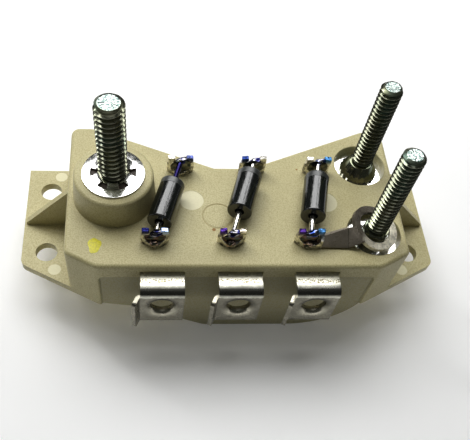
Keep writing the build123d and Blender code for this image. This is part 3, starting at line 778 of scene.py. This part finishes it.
piece(
    "output_bar_melt_and_shade", [(form, False, True) for form in shade_pools + beads], melted, crease=60.0,
    layers={"tint": shade_and_melt_tints},
)

# Output link. One tinned blank: the front fork of the third diode, a strap that leaves its right
# prong on edge and twists, and the ring that hangs tilted round the front stud. The heat dulled the
# strap. The ring's back and left are painted brown as painted shade, its front and right pale as a
# painted highlight, and the strap carries painted shade along its fold crease and in its twist.
LINK_X = 15.15
LINK_FOOT = 10.2
RING_CENTRE = (30.2, -12.9, 17.1)
RING_INNER = 3.85
RING_OUTER = 5.55
RING_LEAN = (0.184, 0.06)
RING_CURL = 0.03
RING_SPREAD_X = (0.91, 0.97)
RING_SPREAD_Y = (1.05, 1.0)
RING_STEPS = 96
RING_SMOOTH = 0.55
RING_DULL = 0.75
STRAP_ARC = (51, 61)
STRAP_START = ((17.95, -17.3, 16.3), (17.95, -16.2, 19.0))
STRAP_FOLD = ((24.0, -17.5, 16.2), (23.3, -14.7, 19.7))
STRAP_DULL = 0.7
CREASE_ROW = 8
CREASE_SHADE = 0.7
TWIST_ROW = 10
TWIST_ROWS = 6
# Painted shade brown for the ring's back and the strap's twist; the pale tin is the ring's painted
# highlight.
SHADE_BROWN = (0.17, 0.15, 0.12)
STRAP_GREY = (0.36, 0.32, 0.265)
LIT_PALE_TIN = (0.97, 0.92, 0.76)


def ring_point(radius, angle):
    """A point of the ring, a disc that leans right and forwards and curls up on the strap's side."""
    x, y = radius * np.cos(angle), radius * np.sin(angle)
    height = RING_CENTRE[2] - RING_LEAN[0] * x + RING_LEAN[1] * y + RING_CURL * np.clip(-x, 0.0, None) ** 2
    x = np.where(x > 0, RING_SPREAD_X[1], RING_SPREAD_X[0]) * x
    y = np.where(y > 0, RING_SPREAD_Y[1], RING_SPREAD_Y[0]) * y
    return np.stack([RING_CENTRE[0] + x, RING_CENTRE[1] + y, height], axis=-1)


def ring_sheet():
    """The ring as circles from its hole to its rim."""
    radius = np.linspace(RING_INNER, RING_OUTER, 5)[:, None]
    angle = np.linspace(0.0, 2 * np.pi, RING_STEPS, endpoint=False)[None, :]
    return ring_point(radius, angle + 0 * radius)


def strap_sheet():
    """The strap: straight lines from the fork's edge to the fold, then cubic curves to the ring's rim."""
    steps = np.arange(STRAP_ARC[1], STRAP_ARC[0] - 1, -1)
    angle = 2 * np.pi * steps / RING_STEPS
    end = ring_point(RING_OUTER, angle)
    inward = ring_point(RING_OUTER - 1.0, angle) - end
    share = np.linspace(0.0, 1.0, len(steps))[:, None]
    start, fold = between(*STRAP_START, share), between(*STRAP_FOLD, share)
    way = np.array([0.0, 0.15, 0.3, 0.45, 0.6, 0.75, 0.9, 0.97, 1.0])[:, None, None]
    flat = start * (1 - way) + fold * way
    way = np.array([0.05, 0.15, 0.3, 0.45, 0.6, 0.75, 0.9, 1.0])[:, None, None]
    leave = end - fold
    curve = (
        (2 * way ** 3 - 3 * way ** 2 + 1) * fold + (way ** 3 - 2 * way ** 2 + way) * leave
        + (3 * way ** 2 - 2 * way ** 3) * end + (way ** 3 - way ** 2) * inward * 1.2
    )
    return np.concatenate([flat, curve])


def ring_light_and_shade(grid):
    """Ring colour: painted shade at its back and left, a pale painted highlight at its front and right."""
    x, y = grid[..., 0] - RING_CENTRE[0], grid[..., 1] - RING_CENTRE[1]
    share = np.clip((x - 0.6 * y + 2.2) / 2.4, 0.0, 1.0)[..., None]
    return with_alpha(between(SHADE_BROWN, LIT_PALE_TIN, share), RING_SMOOTH)


def strap_tint(grid):
    """Strap colour: grey, a painted shade line at the fold crease, turning to painted shade in the twist.
    """
    row = np.arange(grid.shape[0])[:, None, None]
    crease = np.where(row == CREASE_ROW, CREASE_SHADE, 0.0)
    twist = np.clip((row - TWIST_ROW) / TWIST_ROWS, 0.0, 1.0)
    colour = np.array(STRAP_GREY) * (1 - twist) * (1 - crease) + np.array(SHADE_BROWN) * twist
    return with_alpha(colour + 0 * grid)


fork = fork_sheet(LINK_X, FRONT_FORK_Y, LINK_FOOT, flat_right=True)
strap, ring = strap_sheet(), ring_sheet()
dull_shares = ((fork, 0.0), (strap, STRAP_DULL), (ring, RING_DULL))
solid_sheet(piece(
    "output_link_twisted", [(fork, False, False), (strap, False, False), (ring, False, True)], tinned,
    replaces=("output_link",),
    layers={
        "tint": [tinted(fork, VIOLET, CYAN), strap_tint(strap), ring_light_and_shade(ring)],
        "dull": [shaded(grid, (share, share, share)) for grid, share in dull_shares],
    },
))
# The dark sheet across the fork's opening is painted shade; the bead is melted sheet.
melt_and_shade_pool, bead = melt_and_shade_sheet(LINK_X, FRONT_FORK_Y, 4.4), clinker(LINK_X, FRONT_FORK_Y, 3.1)
shade_pool_tint = mottled(melt_and_shade_pool, (OPENING_SHADE_BROWN, DARK_CHROME), 2.0)
bead_tint = mottled(bead, (PINK_METAL, DARK_CHROME), 0.6)
piece(
    "output_link_melt_and_shade", [(melt_and_shade_pool, False, True), (bead, False, True)], melted, crease=60.0,
    layers={"tint": [shade_pool_tint, bead_tint]},
)

# Diodes. Black epoxy moulded round each junction, glossy with fine drag lines along it, with a dull
# grey band at the end towards the rear fork and a small moulded pit where each lead comes out.
DIODE_TURN = 64
DIODE_RADIUS = 2.75
DIODE_LENGTH = 11.2
DIODE_HEIGHT = DECK + 3.4
DIODE_SHIFT = (1.73, -1.3, -0.26)
BAND = 1.6
BAND_ROUGHNESS = 0.33
EPOXY_BLACK = (0.006, 0.008, 0.007, 1.0)
BAND_GREY = (0.03, 0.034, 0.032, 1.0)
REAR_X = [fork_x for fork_x, *_ in REAR_FORKS]
FRONT_X = [fork_x for fork_x, *_ in FRONT_FORKS] + [LINK_X]

epoxy = shader("black epoxy", Specular_IOR_Level=1.0, IOR=1.6)
band = attribute(epoxy, "band")
place = wire(epoxy, "ShaderNodeTexCoord").outputs["Object"]
lengthwise = wire(epoxy, "ShaderNodeMapping", Vector=place, Scale=(1.0, 0.07, 1.0)).outputs[0]
drag = wire(epoxy, "ShaderNodeTexNoise", Vector=lengthwise, Scale=5200.0, Detail=3.0).outputs[0]
connect(epoxy, Base_Color=blend_colours(epoxy, band, EPOXY_BLACK, BAND_GREY))
glossy = ramp(epoxy, drag, [(0.40, grey(0.21)), (0.52, grey(0.08))])
connect(epoxy, Roughness=blend_colours(epoxy, band, glossy, grey(BAND_ROUGHNESS)))
relief(epoxy, drag, 0.016)


def diode_line(number):
    """A diode's rear and front welds, the heading between them and the point where its body starts."""
    rear = np.array([REAR_X[number - 1], REAR_FORK_Y, DIODE_HEIGHT])
    front = np.array([FRONT_X[number - 1], FRONT_FORK_Y, DIODE_HEIGHT])
    heading = (front - rear) / np.linalg.norm(front - rear)
    start = (rear + front) / 2 + heading * (DIODE_SHIFT[number - 1] - DIODE_LENGTH / 2)
    return rear, front, heading, start


def along_axis(local, start, heading):
    """Turns a lathe grid so that its +Z runs along a level heading from a start point."""
    side = np.array([-heading[1], heading[0], 0.0])
    upward = np.array([0.0, 0.0, 1.0])
    return start + local[..., :1] * side + local[..., 1:2] * upward + local[..., 2:] * heading


full, end = DIODE_RADIUS, DIODE_LENGTH
body = lathe([
    (0.0, 0.5), (0.7, 0.5), (0.9, 0.06), (1.3, 0.0), (full - 0.30, 0.0), (full - 0.25, 0.0),
    (full - 0.07, 0.07), (full, 0.25), (full, 0.30), (full, BAND - 0.08), (full, BAND - 0.03),
    (full - 0.03, BAND), (full, BAND + 0.03), (full, BAND + 0.08), (full, 6.0), (full, end - 0.25),
    (full, end - 0.2), (full - 0.06, end - 0.06), (full - 0.2, end), (full - 0.25, end), (1.3, end),
    (1.05, end - 0.1), (0.85, end - 0.9), (0.0, end - 0.9),
], DIODE_TURN)
band_layer = np.where(body[..., 2] < BAND, 1.0, 0.0)[..., None] * np.ones(4)
for number in (1, 2, 3):
    *_, heading, start = diode_line(number)
    piece(
        f"diode_{number}_body", [(along_axis(body, start, heading), False, True)], epoxy,
        crease=50.0, replaces=(f"diode_{number}",), layers={"band": [band_layer]},
    )

# Leads. Tinned copper wire, 1.24 mm, from each end of a diode into its fork, where a welding current
# fused the end into a curled lump between the prongs and left blue and violet temper colours.
LEAD_RADIUS = 0.62
LEAD_SAG = 0.12
LEAD_TIP = (0.0, 0.0, 0.1)
LEAD_HEAT = 0.55
LUMP_PLACE = (0.25, 0.0, 0.35)
LUMP_RADII = (1.5, 0.85, 0.72)
LUMP_RISE = math.radians(24)
LUMP_TINTS = {
    (1, "rear"): (INDIGO, NAVY), (1, "front"): (WHITE_HOT, NAVY),
    (2, "rear"): (WHITE_HOT, NAVY), (2, "front"): (WHITE_HOT, NAVY),
    (3, "rear"): (WHITE_HOT, BLUE), (3, "front"): (WHITE_HOT, BLUE),
}


def wire_run(start, end, colour, heat):
    """A lead and its tint: circles along a line that sags a little, coloured towards the weld."""
    way = np.linspace(-0.1, 1.0, 15)[:, None, None]
    angle = np.linspace(0.0, 2 * np.pi, 20, endpoint=False)[None, :, None]
    heading = (end - start) / np.linalg.norm(end - start)
    side = np.array([-heading[1], heading[0], 0.0])
    upward = np.array([0.0, 0.0, 1.0])
    middle = start + (end - start) * way - LEAD_SAG * np.sin(np.pi * np.clip(way, 0, 1)) * upward
    grid = middle + LEAD_RADIUS * (np.cos(angle) * side + np.sin(angle) * upward)
    mix = np.clip((way - LEAD_HEAT) / (1 - LEAD_HEAT), 0.0, 1.0) ** 1.5 + 0 * angle
    return grid, with_alpha(between(colour, heat, mix))


for number in (1, 2, 3):
    rear, front, heading, start = diode_line(number)
    for side, root, tip in (("rear", start, rear), ("front", start + heading * DIODE_LENGTH, front)):
        colour, heat = LUMP_TINTS[number, side]
        run, run_tint = wire_run(root, tip + np.array(LEAD_TIP), colour, heat)
        seed = number * 2.3 + (side == "rear")
        rise = LUMP_RISE + 0.1 * math.sin(seed)
        curl = lump(tip + np.array(LUMP_PLACE), LUMP_RADII, rise, seed, 0.10)
        curl_tint = mottled(curl, (heat, np.array(heat) * 0.4 + np.array(WHITE_HOT) * 0.4), seed)
        piece(
            f"diode_{number}_{side}_lead_fused", [(run, False, True), (curl, False, True)], melted,
            crease=60.0, replaces=(f"diode_{number}_{side}_lead",), layers={"tint": [run_tint, curl_tint]},
        )

# Paint dab. A test mark in yellow-green paint near the deck's front left corner, put on with one
# touch of a brush, so it is thickest in the middle and its edge is uneven.
DAB = (-31.4, -17.0)
DAB_RADIUS = (1.4, 1.95)
DAB_THIN = (0.56, 0.51, 0.05, 1.0)
DAB_THICK = (0.72, 0.67, 0.03, 1.0)
marking_paint = shader("marking paint", Roughness=0.4)
patch = noise(marking_paint, 2600.0)
connect(marking_paint, Base_Color=ramp(marking_paint, patch, [(0.35, DAB_THIN), (0.62, DAB_THICK)]))
reach = np.array([0.0, 0.5, 0.85, 1.0, 1.0])[:, None]
lift = np.array([0.10, 0.09, 0.06, 0.01, -0.05])[:, None]
angle = np.linspace(0.0, 2 * np.pi, 48, endpoint=False)[None, :]
edge = 1 + 0.09 * np.sin(3 * angle + 0.6) + 0.06 * np.sin(5 * angle)
dab = np.stack([
    DAB[0] + DAB_RADIUS[0] * reach * edge * np.cos(angle),
    DAB[1] + DAB_RADIUS[1] * reach * edge * np.sin(angle),
    DECK + lift + 0 * angle,
], axis=-1)
piece("paint_dab", [(dab, False, True)], marking_paint, crease=60.0)

# Floor, light and camera. A pale table under a soft studio light: a large source over the back, a
# weaker one overhead, cards in front and over the right, a small window on the left and two tubes.
# The camera has the photograph's own viewpoint, which is high and a little to the left.
FLOOR = -11.0
FLOOR_HALF = 1500.0
ROOM = (0.065, 0.068, 0.062, 1.0)

table_mesh = bpy.data.meshes.new("table")
table_corners = [
    (x * FLOOR_HALF / 1000, y * FLOOR_HALF / 1000, FLOOR / 1000)
    for x, y in ((-1, -1), (1, -1), (1, 1), (-1, 1))
]
table_mesh.from_pydata(table_corners, [], [(0, 1, 2, 3)])
table_mesh.materials.append(shader(
    "pale table", Base_Color=grey(0.9), Roughness=0.9, Emission_Color=grey(1.0), Emission_Strength=0.10
))
table_top = bpy.data.objects.new("table", table_mesh)
bpy.context.scene.collection.objects.link(table_top)


def softbox(name, place, size, power, turn=0.0, aimed=False):
    """A rectangular light that faces down, turned about +Z by degrees, or that is aimed at the part."""
    light = bpy.data.lights.new(name, "AREA")
    light.shape = "RECTANGLE"
    light.size, light.size_y = size[0] / 1000, size[1] / 1000
    light.energy = power
    lamp = bpy.data.objects.new(name, light)
    lamp.location = [value / 1000 for value in place]
    lamp.rotation_euler = (0.0, 0.0, math.radians(turn))
    if aimed:
        lamp.rotation_euler = (-lamp.location).to_track_quat("-Z", "Y").to_euler()
    bpy.context.scene.collection.objects.link(lamp)


softbox("key over the back", (-130, 335, 420), (560, 260), 1.9, turn=-8)
softbox("fill overhead", (-90, 130, 450), (560, 150), 1.17)
softbox("card in front", (-60, -120, 450), (320, 120), 0.08)
softbox("card over the right", (242, 365, 420), (115, 240), 0.35)
softbox("left window", (-508, 467, 289), (60, 150), 0.3, aimed=True)
softbox("left tube", (-260, 255, 415), (280, 30), 0.4, turn=139)
softbox("right tube", (290, 190, 400), (200, 30), 0.12, turn=34)

world = bpy.data.worlds.new("room")
world.use_nodes = True
world.node_tree.nodes["Background"].inputs["Color"].default_value = ROOM
bpy.context.scene.world = world
bpy.context.scene.view_settings.view_transform = "Standard"
bpy.context.scene.view_settings.gamma = 0.85

camera = bpy.data.cameras.new("camera")
camera.sensor_width = 36.0
camera.lens = 47.906
camera.shift_x, camera.shift_y = 0.1124, 0.1918
camera.clip_start, camera.clip_end = 0.01, 10.0
eye = bpy.data.objects.new("camera", camera)
eye.location = (-0.020749, -0.094760, 0.127501)
eye.rotation_euler = [math.radians(value) for value in (29.0479, -2.9492, -1.8616)]
bpy.context.scene.collection.objects.link(eye)
bpy.context.scene.camera = eye
